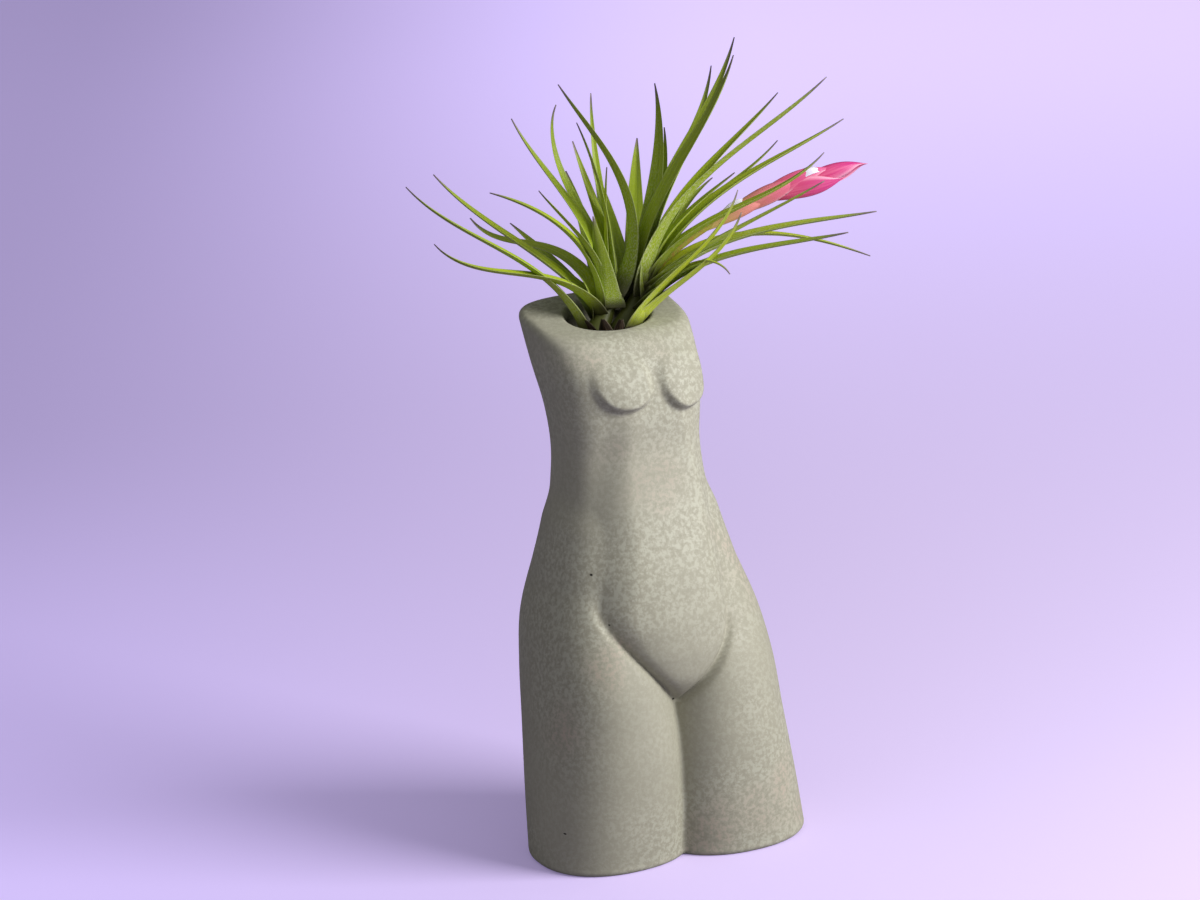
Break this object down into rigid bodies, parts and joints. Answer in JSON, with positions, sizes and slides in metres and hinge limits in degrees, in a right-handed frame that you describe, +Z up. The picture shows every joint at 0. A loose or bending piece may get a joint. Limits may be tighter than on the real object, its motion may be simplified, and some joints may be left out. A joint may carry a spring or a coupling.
{
  "type": "air plant holder",
  "caption": "Hollow matt ceramic torso-shaped vase on a flat foot, with an oval mouth in its sloping top that holds a removable air plant in flower.",
  "frame": {"origin": "centre of the foot, on the surface that the holder stands on", "axes": "+Z up, front of the torso towards -Y, +X to the right seen from the front"},
  "size_m": [0.1368, 0.0995, 0.2358],
  "materials": {
    "glaze": "matt speckled grey-green glaze",
    "roots": "dark woody stub with wiry roots",
    "dry_leaf": "dry brown leaf bases",
    "leaf": "green leaf with silvery scales",
    "stalk": "yellow-green stalk",
    "bract": "pink bract"
  },
  "bodies": {
    "holder": {"torso_vase": "glaze"},
    "air_plant": {"root_clump": "roots", "dry_sheaths": "dry_leaf", "left_rosette": "leaf", "right_rosette": "leaf", "flower_stalk": "stalk", "bract_1": "bract", "bract_2": "bract", "bract_3": "bract", "bract_4": "bract", "bract_5": "bract"}
  },
  "joints": [
    {"name": "plant_lift", "type": "slide", "parent": "holder", "child": "air_plant", "axis": [0, 0, 1], "range_m": [0, 0.09]}
  ]
}
